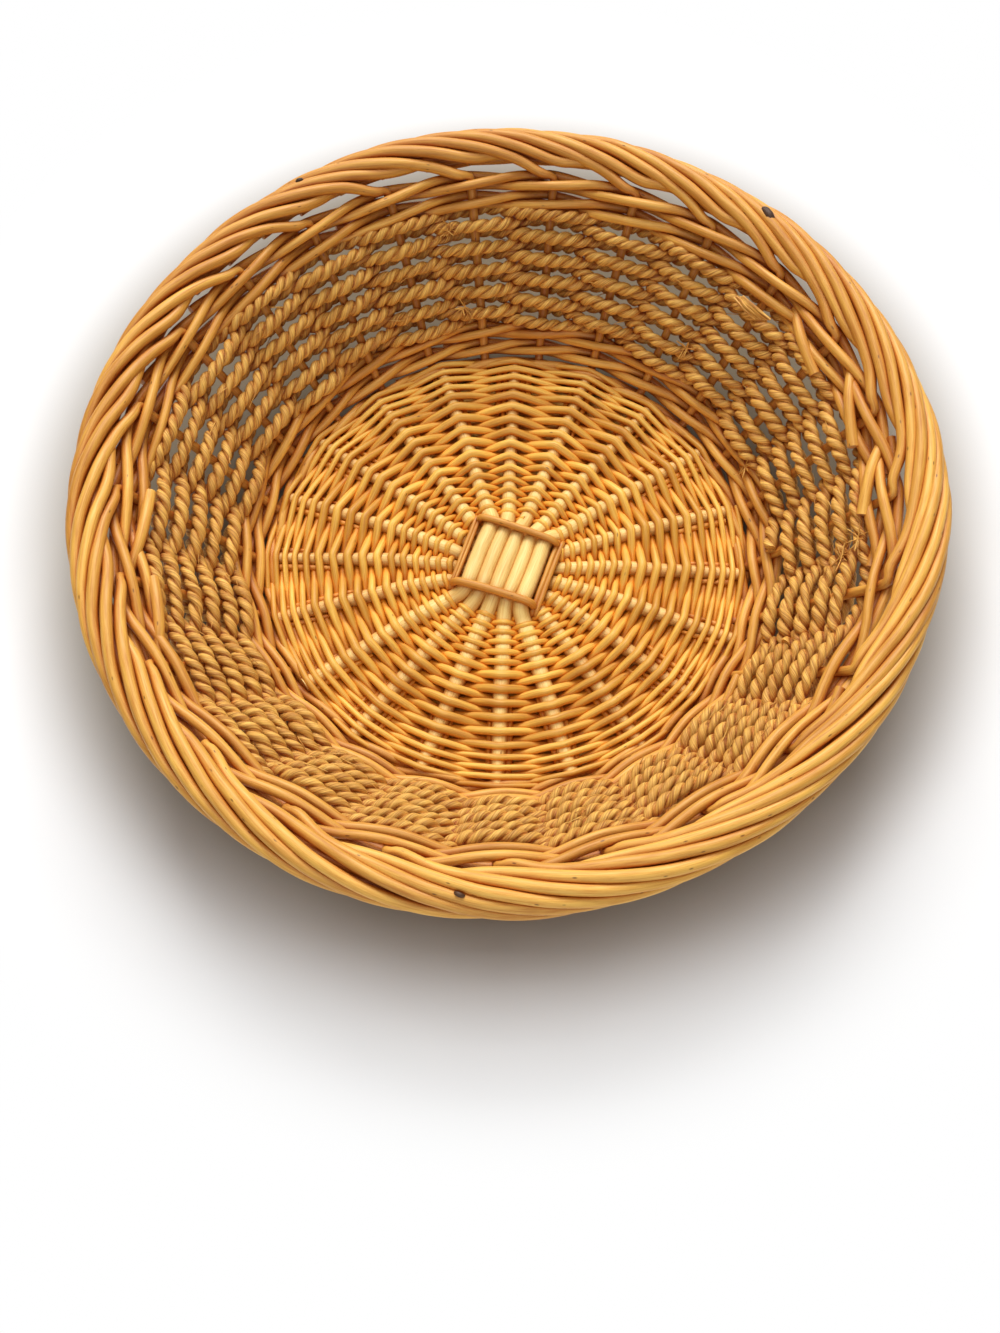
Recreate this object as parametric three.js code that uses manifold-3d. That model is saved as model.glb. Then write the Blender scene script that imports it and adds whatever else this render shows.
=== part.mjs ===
// Round wicker serving tray: a woven willow base, a flared wall of seagrass rope on willow stakes
// and a rolled willow border. Millimetres, +Z up, the ground at z = 0, the axis at x = y = 0.
import * as THREE from 'three';
import { mergeVertices } from 'three/addons/utils/BufferGeometryUtils.js';
import Module from 'manifold-3d';

const wasm = await Module();
wasm.setup();

// Driving dimensions, in millimetres and degrees
const baseRadius = 103.6;
const baseCrown = 4.0;
const groundGap = 0.5;
const armDirectionDegrees = 67.5;
const sticksPerArm = 5;
const stickRadiusCentre = 3.1;
const stickRadiusEdge = 2.1;
const baseWeaverHalfWidth = 1.35;
const baseWeaverHalfHeight = 1.1;
const baseWeaverGap = 0.5;
const tieHalfWidth = 1.5;
const tieReach = 11;
const baseWeaveReach = 6.9;
const stakeCount = 25;
const stakeRadius = 1.9;
const firstStakeDegrees = -7.6;
const stakeDriftDegrees = 3.6;
const stakeDriftPhaseDegrees = 10;
const wallSlopeDegrees = 53.1;
const wallBendRadius = 10;
const wallBendStartDegrees = 10;
const waleRods = 3;
const upsettRows = 3;
const upsettHalfHeight = 1.5;
const upsettHalfDepth = 1.45;
const ropeRows = 11;
const ropeHalfHeight = 2.3;
const ropeHalfDepth = 2.2;
const topWaleRows = 2;
const topWaleHalfHeight = 1.45;
const topWaleHalfDepth = 1.5;
const stepStakes = 2;
const borderRodRadius = 2.25;
const borderRodTurnDegrees = 39.2;
const borderWrapStartDegrees = 160;
const borderWrapSteps = 6;
const borderOutFromWall = 2.5;
const borderUpFromWall = 4.6;
const hookOut = 2.9;
const clearance = 0.3;
const bandGap = 0.6;
const standingCut = 0.35;
const standGap = 0.5;

// Angles in radians
const degree = Math.PI / 180;
const wallSlope = wallSlopeDegrees * degree;
const bendStart = wallBendStartDegrees * degree;
const armDirection = armDirectionDegrees * degree;
const borderRodTurn = borderRodTurnDegrees * degree;
const borderWrapStart = borderWrapStartDegrees * degree;

// The base: spokes, the square where the sticks cross, the ties round it and the start of the weave
const spokeCount = 4 * sticksPerArm;
const spokeStep = 2 * Math.PI / spokeCount;
const middleLane = (sticksPerArm - 1) / 2;
const laneStep = 2 * stickRadiusCentre + clearance;
const squareHalf = sticksPerArm * laneStep / 2;
const innerTieRadius = squareHalf + tieReach;
const outerTieRadius = innerTieRadius + 2 * tieHalfWidth + clearance;
const baseWeaveStart = outerTieRadius + baseWeaveReach;
const baseWeaverPitch = 2 * baseWeaverHalfWidth + baseWeaverGap;
const baseEdgeHeight = groundGap + Math.max(
  weaveReach(baseRadius),
  weaveReach(innerTieRadius) - crownAt(innerTieRadius),
);

// The rows of the wall, as lengths up the line of the stakes
const bendLength = wallBendRadius * (wallSlope - bendStart);
const upsettStack = 2 * upsettHalfHeight + clearance;
const upsettOff = stakeRadius + clearance + upsettHalfDepth;
const upsettFirst = upsettStack + clearance;
const upsettTop = upsettFirst + 2 * upsettStack * (upsettRows - 1) + upsettStack / 2 + upsettHalfHeight;
const ropePitch = 2 * ropeHalfHeight + clearance;
const ropeFirst = upsettTop + bandGap + ropeHalfHeight;
const ropeTop = ropeFirst + ropePitch * (ropeRows - 1) + ropeHalfHeight;
const topWaleStack = 2 * topWaleHalfHeight + clearance;
const topWaleOff = stakeRadius + clearance + topWaleHalfDepth;
const topWaleFirst = ropeTop + clearance + topWaleStack / 2 + topWaleHalfHeight;
const topWaleLast = topWaleFirst + 2 * topWaleStack * (topWaleRows - 1);
const wallTop = topWaleLast + topWaleStack / 2 + topWaleHalfHeight + clearance;

// The stakes' feet: beside the base edge, at the height that brings the lowest rods to the ground
const footRadius = baseRadius + clearance + standGap;
const footBend = bendStart + (upsettFirst - upsettStack / 2) / wallBendRadius;
const footRise = wallBendRadius * (Math.cos(bendStart) - Math.cos(footBend));
const footHeight = (upsettOff + upsettHalfDepth) * Math.cos(footBend) - footRise - standingCut;

// The border: rods that touch side by side round a core, outside and above the top of the wall
const borderRodOrbit = (2 * borderRodRadius + clearance) / (2 * Math.sin(borderRodTurn / 2));
const borderCoreRadius = borderRodOrbit * Math.cos(borderRodTurn / 2) - borderRodRadius - clearance;
const borderHalfSection = borderRodOrbit + borderRodRadius;
const borderCentreRadius = stakeLine(wallTop).radius + borderHalfSection + borderOutFromWall;
const borderCentreHeight = stakeLine(wallTop).height + borderUpFromWall;
const outerRadius = borderCentreRadius + borderHalfSection;

// Materials
const peeledWillow = new THREE.MeshStandardMaterial({ color: 0xf0d79a, roughness: 0.55, metalness: 0 });
const willow = new THREE.MeshStandardMaterial({ color: 0xd49a55, roughness: 0.5, metalness: 0 });
const paleWillow = new THREE.MeshStandardMaterial({ color: 0xdfae6c, roughness: 0.5, metalness: 0 });
const seagrass = new THREE.MeshStandardMaterial({ color: 0xc39a5a, roughness: 0.8, metalness: 0 });

// A closed body through rings of equally many points, capped at both ends or joined into a loop
function loft(rings, looped = false) {
  const sides = rings[0].length;
  const positions = rings.flat().flatMap((point) => [point.x, point.y, point.z]);
  const indices = [];
  const spans = looped ? rings.length : rings.length - 1;
  for (let span = 0; span < spans; span++) {
    const here = span * sides;
    const next = ((span + 1) % rings.length) * sides;
    for (let side = 0; side < sides; side++) {
      const turn = (side + 1) % sides;
      indices.push(here + side, here + turn, next + turn);
      indices.push(here + side, next + turn, next + side);
    }
  }
  if (!looped) {
    const last = (rings.length - 1) * sides;
    for (let side = 1; side < sides - 1; side++) {
      indices.push(0, side + 1, side);
      indices.push(last, last + side, last + side + 1);
    }
  }
  const geometry = new THREE.BufferGeometry();
  geometry.setAttribute('position', new THREE.Float32BufferAttribute(positions, 3));
  geometry.setIndex(signedVolume(positions, indices) < 0 ? indices.reverse() : indices);
  return geometry;
}

// The volume inside a closed set of triangles, negative when the faces point inwards
function signedVolume(positions, indices) {
  const corner = (index) => new THREE.Vector3().fromArray(positions, index * 3);
  let volume = 0;
  for (let i = 0; i < indices.length; i += 3) {
    volume += corner(indices[i]).dot(corner(indices[i + 1]).cross(corner(indices[i + 2]))) / 6;
  }
  return volume;
}

// A point at a distance from the axis, at an angle round it and at a height
function polar(radius, angle, height) {
  return new THREE.Vector3(radius * Math.cos(angle), radius * Math.sin(angle), height);
}

// A four-sided section about a centre, spanned by two directions
function flatSection(centre, across, up, halfAcross, halfUp) {
  const corners = [[1, 1], [-1, 1], [-1, -1], [1, -1]];
  return corners.map(([a, b]) => centre.clone()
    .addScaledVector(across, a * halfAcross)
    .addScaledVector(up, b * halfUp));
}

// A round section of a few sides about a centre
function roundSection(centre, across, up, halfAcross, halfUp, sides) {
  const ring = [];
  for (let side = 0; side < sides; side++) {
    const turn = 2 * Math.PI * side / sides;
    ring.push(centre.clone()
      .addScaledVector(across, halfAcross * Math.cos(turn))
      .addScaledVector(up, halfUp * Math.sin(turn)));
  }
  return ring;
}

// A round rod through points, its sections square to its way and carried along without twist
function rod(points, radii, sides) {
  const directions = points.map((point, i) => {
    const before = points[Math.max(i - 1, 0)];
    const after = points[Math.min(i + 1, points.length - 1)];
    return after.clone().sub(before).normalize();
  });
  let across = new THREE.Vector3(0, 0, 1).cross(directions[0]).normalize();
  const rings = points.map((point, i) => {
    across = across.clone().addScaledVector(directions[i], -across.dot(directions[i])).normalize();
    const up = directions[i].clone().cross(across);
    return roundSection(point, across, up, radii[i], radii[i], sides);
  });
  return loft(rings);
}

// A closed body as a solid that can be joined and cut
function toSolid(geometry) {
  const vertProperties = new Float32Array(geometry.attributes.position.array);
  const triVerts = new Uint32Array(geometry.index.array);
  return new wasm.Manifold(new wasm.Mesh({ numProp: 3, vertProperties, triVerts }));
}

// A joined or cut solid as a three.js geometry
function fromSolid(solid) {
  const mesh = solid.getMesh();
  const geometry = new THREE.BufferGeometry();
  geometry.setAttribute('position', new THREE.Float32BufferAttribute(mesh.vertProperties, 3));
  geometry.setIndex(Array.from(mesh.triVerts));
  return geometry;
}

// A body cut level at the ground, so that it stands on flat faces
function cutAtGround(geometry) {
  const width = 2 * outerRadius;
  const box = new THREE.BoxGeometry(width, width, width).translate(0, 0, -width / 2);
  box.deleteAttribute('normal');
  box.deleteAttribute('uv');
  return fromSolid(toSolid(geometry).subtract(toSolid(mergeVertices(box))));
}

// How far a weaver stands off a round bar, so that its slanted run between two bars clears both
function standOff(barRadius, weaverHalf, spacing) {
  let height = barRadius + weaverHalf + clearance;
  for (let pass = 0; pass < 12; pass++) {
    const slant = Math.hypot(1, 2 * height / spacing);
    height = weaverHalf + (barRadius + clearance) * slant;
  }
  return height;
}

// The angle of a place on the wall, counted in stakes; the hand-set spacing drifts round the wall
function wallAngle(place) {
  const even = firstStakeDegrees * degree + place * 2 * Math.PI / stakeCount;
  return even + stakeDriftDegrees * degree * Math.cos(even + stakeDriftPhaseDegrees * degree);
}

// The line of the stakes in the wall: a bend out of the base edge and a straight flare
function stakeLine(length) {
  const bendAngle = bendStart + Math.min(Math.max(length, 0), bendLength) / wallBendRadius;
  const straight = length > bendLength ? length - bendLength : Math.min(length, 0);
  return {
    radius: footRadius + wallBendRadius * (Math.sin(bendAngle) - Math.sin(bendStart))
      + straight * Math.cos(bendAngle),
    height: footHeight + wallBendRadius * (Math.cos(bendStart) - Math.cos(bendAngle))
      + straight * Math.sin(bendAngle),
    slope: bendAngle,
  };
}

// A point beside the stake line, and the directions out of the wall and up it
function wallPlace(place, length, depth) {
  const line = stakeLine(length);
  const angle = wallAngle(place);
  const outward = polar(Math.sin(line.slope), angle, -Math.cos(line.slope));
  const upward = polar(Math.cos(line.slope), angle, Math.sin(line.slope));
  const centre = polar(line.radius, angle, line.height).addScaledVector(outward, depth);
  return { centre, outward, upward };
}

// How far the floor rises above its edge at a distance from the axis
function crownAt(radius) {
  return baseCrown * (1 - (radius / baseRadius) ** 2);
}

// The height of the middle of the floor
function floorHeight(radius) {
  return baseEdgeHeight + crownAt(radius);
}

// The base sticks taper from the centre to the edge
function stickRadiusAt(radius) {
  return THREE.MathUtils.lerp(stickRadiusCentre, stickRadiusEdge, radius / baseRadius);
}

// How far a base weaver's middle rises over a stick
function weaveRise(radius) {
  const spacing = 2 * radius * Math.sin(spokeStep / 2);
  return standOff(stickRadiusAt(radius), baseWeaverHalfHeight, spacing);
}

// How far the weave reaches above and below the middle of the floor
function weaveReach(radius) {
  return weaveRise(radius) + baseWeaverHalfHeight;
}

// Level rows, each with one step up to the next row over the last few stakes
function rowRise(place) {
  const row = Math.floor(place / stakeCount);
  const inRow = place - row * stakeCount;
  return row + Math.max(inRow - (stakeCount - stepStakes), 0) / stepStakes;
}

// One base stick: a lane through the square, in its upper or lower layer, then out along two spokes
function baseStick(lane, direction, layer) {
  const offset = (lane - middleLane) * laneStep;
  const spread = (lane - middleLane) * spokeStep;
  const joinRadius = spread === 0 ? squareHalf : Math.abs(offset / Math.sin(spread));
  const middleOfSpoke = (baseWeaveStart + baseRadius) / 2;
  const reaches = [joinRadius + laneStep / 2, baseWeaveStart, middleOfSpoke, baseRadius];
  const layerLift = layer * (stickRadiusCentre + clearance / 2);
  const outStops = [
    { along: squareHalf - laneStep / 4, across: offset, lift: layerLift },
    ...reaches.map((reach) => ({
      along: reach * Math.cos(spread),
      across: reach * Math.sin(spread),
      lift: 0,
    })),
  ];
  const backStops = outStops.map((stop) => ({ ...stop, along: -stop.along })).reverse();
  const route = [...backStops, ...outStops].map(({ along, across, lift }) => {
    const radius = Math.hypot(along, across);
    const angle = Math.atan2(across, along) + direction;
    return { point: polar(radius, angle, floorHeight(radius) + lift), radius };
  });
  return rod(route.map((stop) => stop.point), route.map((stop) => stickRadiusAt(stop.radius)), 6);
}

// A willow tie round the square: over one pair of arms and under the other
function slathTie(radius, overFirstArms) {
  const rings = [];
  const up = new THREE.Vector3(0, 0, 1);
  for (let arm = 0; arm < 4; arm++) {
    const side = (arm % 2 === 0) === overFirstArms ? 1 : -1;
    for (let lane = 0; lane < sticksPerArm; lane += middleLane) {
      const angle = armDirection + arm * Math.PI / 2 + (lane - middleLane) * spokeStep;
      const centre = polar(radius, angle, floorHeight(radius) + side * weaveRise(radius));
      rings.push(flatSection(centre, polar(1, angle, 0), up, tieHalfWidth, baseWeaverHalfHeight));
    }
  }
  return loft(rings, true);
}

// One of the two base weavers, winding out over one spoke and under the next
function baseWeaver(firstSpoke, firstSide) {
  const rings = [];
  const up = new THREE.Vector3(0, 0, 1);
  const spokePitch = 2 * baseWeaverPitch / spokeCount;
  const spokes = Math.floor((baseRadius - baseWeaverHalfWidth - baseWeaveStart) / spokePitch);
  for (let step = 0; step <= spokes; step++) {
    const radius = baseWeaveStart + spokePitch * step;
    const angle = armDirection + (firstSpoke + step) * spokeStep;
    const side = step % 2 === 0 ? firstSide : -firstSide;
    const centre = polar(radius, angle, floorHeight(radius) + side * weaveRise(radius));
    rings.push(flatSection(centre, polar(1, angle, 0), up, baseWeaverHalfWidth, baseWeaverHalfHeight));
  }
  return loft(rings);
}

// One rod of a wale: inside one stake, then outside two, low as it comes out and high as it goes in
function waleRod(index, { rows, firstRow, stack, off, halfHeight, halfDepth }) {
  const stops = [
    { at: 0, depth: -off, lift: 0 },
    { at: 0.5, depth: 0, lift: -stack / 2 },
    { at: 1, depth: off, lift: -stack / 2 },
    { at: 2, depth: off, lift: stack / 2 },
    { at: 2.5, depth: 0, lift: stack / 2 },
  ];
  const lastPlace = rows * stakeCount - stepStakes;
  const rings = [];
  for (let cycle = -1; cycle * waleRods < lastPlace; cycle++) {
    for (const stop of stops) {
      const place = cycle * waleRods + index + stop.at;
      if (place < 0 || place > lastPlace) continue;
      const length = firstRow + 2 * stack * rowRise(place) + stop.lift;
      const { centre, outward, upward } = wallPlace(place, length, stop.depth);
      rings.push(roundSection(centre, outward, upward, halfDepth, halfHeight, 4));
    }
  }
  return loft(rings);
}

// The seagrass rope: one strand, behind one stake and in front of the next, row upon row
function seagrassRope() {
  const rings = [];
  const lastPlace = ropeRows * stakeCount - stepStakes;
  for (let place = 0; place <= lastPlace; place++) {
    const length = ropeFirst + ropePitch * rowRise(place);
    const spacing = 2 * stakeLine(length).radius * Math.sin(Math.PI / stakeCount);
    const off = standOff(stakeRadius, ropeHalfDepth, spacing);
    const { centre, outward, upward } = wallPlace(place, length, place % 2 === 0 ? -off : off);
    rings.push(roundSection(centre, outward, upward, ropeHalfDepth, ropeHalfHeight, 5));
  }
  return loft(rings);
}

// A place in the border: along it, counted in stakes, and round its core
function borderPlace(place, turn, orbit) {
  return polar(
    borderCentreRadius + orbit * Math.cos(turn),
    wallAngle(place),
    borderCentreHeight + orbit * Math.sin(turn),
  );
}

// The wrap of one border rod, from the inner side over the top to under the outer side
function borderWrap(firstPlace) {
  const points = [];
  for (let step = 0; step <= borderWrapSteps; step++) {
    const turn = borderWrapStart - borderRodTurn * step;
    points.push(borderPlace(firstPlace + step / 2, turn, borderRodOrbit));
  }
  return points;
}

// One stake: up through the wall, hooked over inwards and, as its own border rod, round the border
function stake(index) {
  const upright = [0, bendLength / 2, bendLength, wallTop / 2, wallTop]
    .map((length) => wallPlace(index, length, 0).centre);
  const hook = [
    borderPlace(index + 0.06, borderWrapStart, borderRodOrbit + hookOut),
    borderPlace(index + 0.25, borderWrapStart - borderRodTurn / 2, borderRodOrbit + hookOut / 2),
  ];
  const wrap = borderWrap(index).slice(1);
  const radii = [
    ...upright.map(() => stakeRadius),
    ...[...hook, ...wrap].map(() => borderRodRadius),
  ];
  return rod([...upright, ...hook, ...wrap], radii, 5);
}

// The core of bundled tips, with the second border rod of each stake coming out of it
function borderCore() {
  const rings = [];
  for (let place = 0; place < stakeCount; place += 0.5) {
    const angle = wallAngle(place);
    const centre = polar(borderCentreRadius, angle, borderCentreHeight);
    const up = new THREE.Vector3(0, 0, 1);
    rings.push(roundSection(centre, polar(1, angle, 0), up, borderCoreRadius, borderCoreRadius, 6));
  }
  let solid = toSolid(loft(rings, true));
  for (let index = 0; index < stakeCount; index++) {
    const start = borderPlace(index, borderWrapStart + borderRodTurn, borderCoreRadius / 2);
    const points = [start, ...borderWrap(index + 0.5)];
    solid = solid.add(toSolid(rod(points, points.map(() => borderRodRadius), 5)));
  }
  return fromSolid(solid);
}

const tray = new THREE.Group();

function addPiece(name, geometry, material) {
  const mesh = new THREE.Mesh(geometry, material);
  mesh.name = name;
  tray.add(mesh);
}

// The base
for (let lane = 0; lane < sticksPerArm; lane++) {
  addPiece(`base_stick_${lane + 1}`, baseStick(lane, armDirection, 1), peeledWillow);
  addPiece(`cross_stick_${lane + 1}`, baseStick(lane, armDirection - Math.PI / 2, -1), peeledWillow);
}
addPiece('slath_tie_inner', slathTie(innerTieRadius, true), willow);
addPiece('slath_tie_outer', slathTie(outerTieRadius, false), willow);
addPiece('base_weaver_a', baseWeaver(0, 1), willow);
addPiece('base_weaver_b', baseWeaver(spokeCount / 2, -1), willow);

// The wall
for (let index = 0; index < stakeCount; index++) {
  addPiece(`stake_${String(index + 1).padStart(2, '0')}`, stake(index), paleWillow);
}
const upsett = {
  rows: upsettRows,
  firstRow: upsettFirst,
  stack: upsettStack,
  off: upsettOff,
  halfHeight: upsettHalfHeight,
  halfDepth: upsettHalfDepth,
};
const topWale = {
  rows: topWaleRows,
  firstRow: topWaleFirst,
  stack: topWaleStack,
  off: topWaleOff,
  halfHeight: topWaleHalfHeight,
  halfDepth: topWaleHalfDepth,
};
for (let index = 0; index < waleRods; index++) {
  addPiece(`upsett_weaver_${index + 1}`, cutAtGround(waleRod(index, upsett)), willow);
  addPiece(`top_wale_weaver_${index + 1}`, waleRod(index, topWale), willow);
}
addPiece('seagrass_rope', seagrassRope(), seagrass);

// The border
addPiece('border_core', borderCore(), willow);

export default tray;
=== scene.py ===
"""The looks of a round wicker serving tray, made around its CAD frame.

Lengths are in metres and angles in radians, +Z up. The tray stands on z = 0 and its axis is at
x = y = 0. A place on the wall is counted in stakes, anticlockwise from above.
"""

import math

import bpy
import numpy as np
from mathutils import Matrix, Vector


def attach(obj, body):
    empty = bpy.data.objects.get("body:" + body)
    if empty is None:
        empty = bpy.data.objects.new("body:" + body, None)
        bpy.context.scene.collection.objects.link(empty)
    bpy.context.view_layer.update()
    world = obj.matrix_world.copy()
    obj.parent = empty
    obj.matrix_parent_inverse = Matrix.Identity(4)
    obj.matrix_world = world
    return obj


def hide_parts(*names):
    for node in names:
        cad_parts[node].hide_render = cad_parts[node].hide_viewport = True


bl_info = {
    "name": "Round Wicker Tray",
    "version": (1, 0, 0),
    "blender": (4, 5, 0),
    "location": "View3D > Sidebar > Tray",
    "description": "Willow and seagrass looks for a round wicker serving tray",
    "category": "Object",
}

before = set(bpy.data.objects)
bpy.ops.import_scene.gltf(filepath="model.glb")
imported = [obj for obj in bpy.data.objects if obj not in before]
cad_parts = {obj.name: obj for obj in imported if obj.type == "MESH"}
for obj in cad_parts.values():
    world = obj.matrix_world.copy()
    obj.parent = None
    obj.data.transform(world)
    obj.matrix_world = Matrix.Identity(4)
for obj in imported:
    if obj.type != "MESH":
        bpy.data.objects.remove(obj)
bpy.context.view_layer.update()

TURN = 2 * math.pi

# The plan of the basket, as its CAD source has it
SPOKES = 20
ARM_DIRECTION = math.radians(67.5)
STAKES = 25
FIRST_STAKE = math.radians(-7.6)
STAKE_DRIFT = math.radians(3.6)
STAKE_DRIFT_PHASE = math.radians(10)
WALL_SLOPE = math.radians(53.1)
BEND_START = math.radians(10)
BEND_RADIUS = 0.010
BASE_RADIUS = 0.1046
BASE_EDGE_HEIGHT = 0.0057
BASE_CROWN = 0.0014
FOOT_RADIUS = 0.1044
FOOT_HEIGHT = 0.00388
BORDER_RADIUS = 0.1712
BORDER_HEIGHT = 0.07609
BORDER_FLATNESS = 1.06
WRAP_START = math.radians(192)
WRAP_STEP = math.radians(39)

# How far each spoke stands from its even place, in degrees, and how far the square of sticks
# sits from the axis, as hands set them
SPOKE_DRIFT = (
    -2.0, -0.7, 0.3, 0.7, 1.4, 0.6, -0.3, -1.8, -0.7, -1.1,
    -0.7, -0.3, -0.7, -0.7, -1.1, -1.1, -1.8, -2.1, -2.4, -2.4,
)
SQUARE_SHIFT = -0.0026

# How far the border bulges out of round, at every twelfth of a turn
BORDER_DRIFT_ANGLES = np.linspace(0, TURN, 13)
BORDER_DRIFT = np.array(
    [1.6, -0.6, -0.5, 1.0, -0.8, -1.4, -2.0, -1.3, 0.3, 0.0, -1.2, -1.0, 1.6]
) / 1000

# The rods tied over the square of sticks: a quarter of a turn, distances from the middle, and
# thickness as a share. Thick rods lie over the ends of the upper sticks, thin ones beside them.
SQUARE_TIES = (
    (0, (0.0166,), 1.0),
    (1, (0.0186, 0.0200), 0.60),
    (2, (0.0162,), 1.05),
    (3, (0.0186, 0.0205), 0.76),
)

# How the base weave changes outwards, as distances from the middle and the values there: the height
# of a row and the thickness of a weaver, as shares, and how straight it spans from stick to stick
WEAVE_START = 0.0238
ROW_SHARE = ((0.024, 0.048, 0.056, 0.080, 0.093, 0.1), (0.76, 0.80, 1.0, 1.0, 0.74, 0.62))
WEAVER_SHARE = ((WEAVE_START, 0.048, 0.056, 0.084), (0.66, 0.78, 1.0, 1.0))
CHORD_PULL = ((0.03, 0.08, 0.1), (1.5, 1.1, 0.5))

# Between these distances the weavers change to the thin ones of the last rows
EDGE_ROWS = (0.084, 0.094)

# The rows of the wall, as lengths up the line of the stakes
UPSETT_ROWS = (0.0010, 0.0094, 0.0176)
ROPE_FIRST = 0.02285
ROPE_PITCH = 0.0051
ROPE_ROWS = 11
WALE_ROWS = (0.0785, 0.0873)
KNUCKLE = 0.0905

# Ends of willow rods that show on the inside, under the lower row of the top wale: angle in degrees
# and length up the stakes, of the cut end and then of the place where the rod goes outside
ROD_ENDS = (
    (21.5, 0.0745, 33.0, 0.0820),
    (6.2, 0.0775, 19.0, 0.0868),
    (-6.2, 0.0772, 5.5, 0.0875),
    (175.3, 0.0768, 189.0, 0.0822),
    (190.8, 0.0762, 204.0, 0.0805),
)

# Where the rope's leaves end in a tuft, as angle in degrees and length up the stakes
TUFTS = (
    (17.8, 0.0170), (97.0, 0.0680), (350.0, 0.0745),
    (348.0, 0.0620), (46.0, 0.0360), (96.0, 0.0310),
)

# Scars of side shoots on the border: angle and turn round the border's core, both in degrees, and
# half width
KNOTS = ((45.5, 75, 0.0023), (118.0, 62, 0.0009), (262.0, 70, 0.0009))


def linear_colour(code):
    """An sRGB hex colour as linear red, green and blue."""
    channels = [int(code[i : i + 2], 16) / 255 for i in (1, 3, 5)]
    return [c / 12.92 if c <= 0.04045 else ((c + 0.055) / 1.055) ** 2.4 for c in channels]


def size(name, description, default):
    """A length that a user can change."""
    return bpy.props.FloatProperty(
        name=name, description=description, default=default, min=0.0001, unit="LENGTH", precision=5
    )


def tint(name, description, code):
    """A colour that a user can change."""
    default = linear_colour(code)
    return bpy.props.FloatVectorProperty(
        name=name, description=description, default=default, subtype="COLOR", size=3, min=0, max=1
    )


class BaseSizes(bpy.types.PropertyGroup):
    """Sizes of the woven base."""

    stick_middle: size("Stick at the middle", "Diameter of a stick where the sticks cross", 0.0070)
    stick_edge: size("Stick at the edge", "Diameter of a stick at the edge of the base", 0.0056)
    weaver: size("Weaver", "Diameter of a weaver of the base", 0.0039)
    weaver_edge: size("Edge weaver", "Diameter of a weaver in the last rows of the base", 0.0028)
    row: size("Row", "Distance between two rows of the base weave", 0.0033)
    tie: size("Tie", "Diameter of the rods tied round the square of sticks", 0.0033)
    butt: size("Stake butt", "Diameter of a stake's butt, beside a base stick", 0.0028)


class WallSizes(bpy.types.PropertyGroup):
    """Sizes of the wall."""

    stake: size("Stake", "Diameter of a stake", 0.0040)
    upsett: size("Upsett rod", "Diameter of a rod in the rows at the foot of the wall", 0.0042)
    wale: size("Top wale rod", "Diameter of a rod in the rows under the border", 0.0043)
    rope: size("Rope", "Diameter of the seagrass rope", 0.0064)
    lay: size("Rope lay", "Length of one full turn of the rope's strands", 0.0128)


class BorderSizes(bpy.types.PropertyGroup):
    """Sizes of the rolled border."""

    rod: size("Border rod", "Diameter of a border rod", 0.0050)
    core: size("Core rod", "Diameter of a rod in the core of the border", 0.0042)
    orbit: size("Wrap radius", "Distance of the border rods from the core's middle", 0.0070)


class Finishes(bpy.types.PropertyGroup):
    """Colours of the willow, the rope and the floor."""

    buff: tint("Buff willow", "Boiled and peeled willow rod", "#F5BE56")
    buff_dark: tint("Dark buff willow", "The darkest and reddest of the willow rods", "#D09036")
    fine: tint("Fine buff willow", "Thin willow rod of the base weave", "#FACA5A")
    fine_dark: tint("Dark fine buff willow", "The darkest of the thin willow rods", "#CE922E")
    white: tint("White willow", "Peeled white willow of the base sticks", "#FCDE8C")
    white_dark: tint("Aged white willow", "White willow where it has yellowed", "#E2B868")
    bark: tint("Bark", "Dried bark in the scar of a side shoot", "#5E3C22")
    bark_dark: tint("Dark bark", "The darkest of the dried bark", "#321E10")
    grass: tint("Seagrass", "Dry seagrass", "#FAC65C")
    grass_dark: tint("Dark seagrass", "The brown leaves in the seagrass", "#B47224")
    floor: tint("Floor", "White paper floor", "#FAFAFA")


def base_sizes():
    return bpy.context.scene.tray_base


def wall_sizes():
    return bpy.context.scene.tray_wall


def border_sizes():
    return bpy.context.scene.tray_border


def finishes():
    return bpy.context.scene.tray_finishes


# Lines on the basket


def polar(radius, angle, height):
    """Points at distances from the axis, angles round it and heights."""
    return np.stack(np.broadcast_arrays(radius * np.cos(angle), radius * np.sin(angle), height), -1)


def wall_angle(place):
    """The angle of a place on the wall; the hand-set spacing of the stakes drifts round it."""
    even = FIRST_STAKE + place * TURN / STAKES
    return even + STAKE_DRIFT * np.cos(even + STAKE_DRIFT_PHASE)


def wall_place(angle):
    """The place on the wall at an angle."""
    places = np.arange(-4, STAKES + 4)
    return np.interp(angle, wall_angle(places), places)


def stake_line(length):
    """Radius, height and slope of the line of the stakes, a length up from its foot."""
    bend_length = BEND_RADIUS * (WALL_SLOPE - BEND_START)
    bend = BEND_START + np.clip(length, 0, bend_length) / BEND_RADIUS
    straight = np.where(length > bend_length, length - bend_length, np.minimum(length, 0))
    out = BEND_RADIUS * (np.sin(bend) - math.sin(BEND_START))
    rise = BEND_RADIUS * (math.cos(BEND_START) - np.cos(bend))
    radius = FOOT_RADIUS + out + straight * np.cos(bend)
    height = FOOT_HEIGHT + rise + straight * np.sin(bend)
    return radius, height, bend


def wall_points(place, length, depth):
    """Points beside the line of the stakes; depth is positive outside the wall."""
    radius, height, slope = stake_line(np.asarray(length, float))
    return polar(radius + depth * np.sin(slope), wall_angle(place), height - depth * np.cos(slope))


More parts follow.
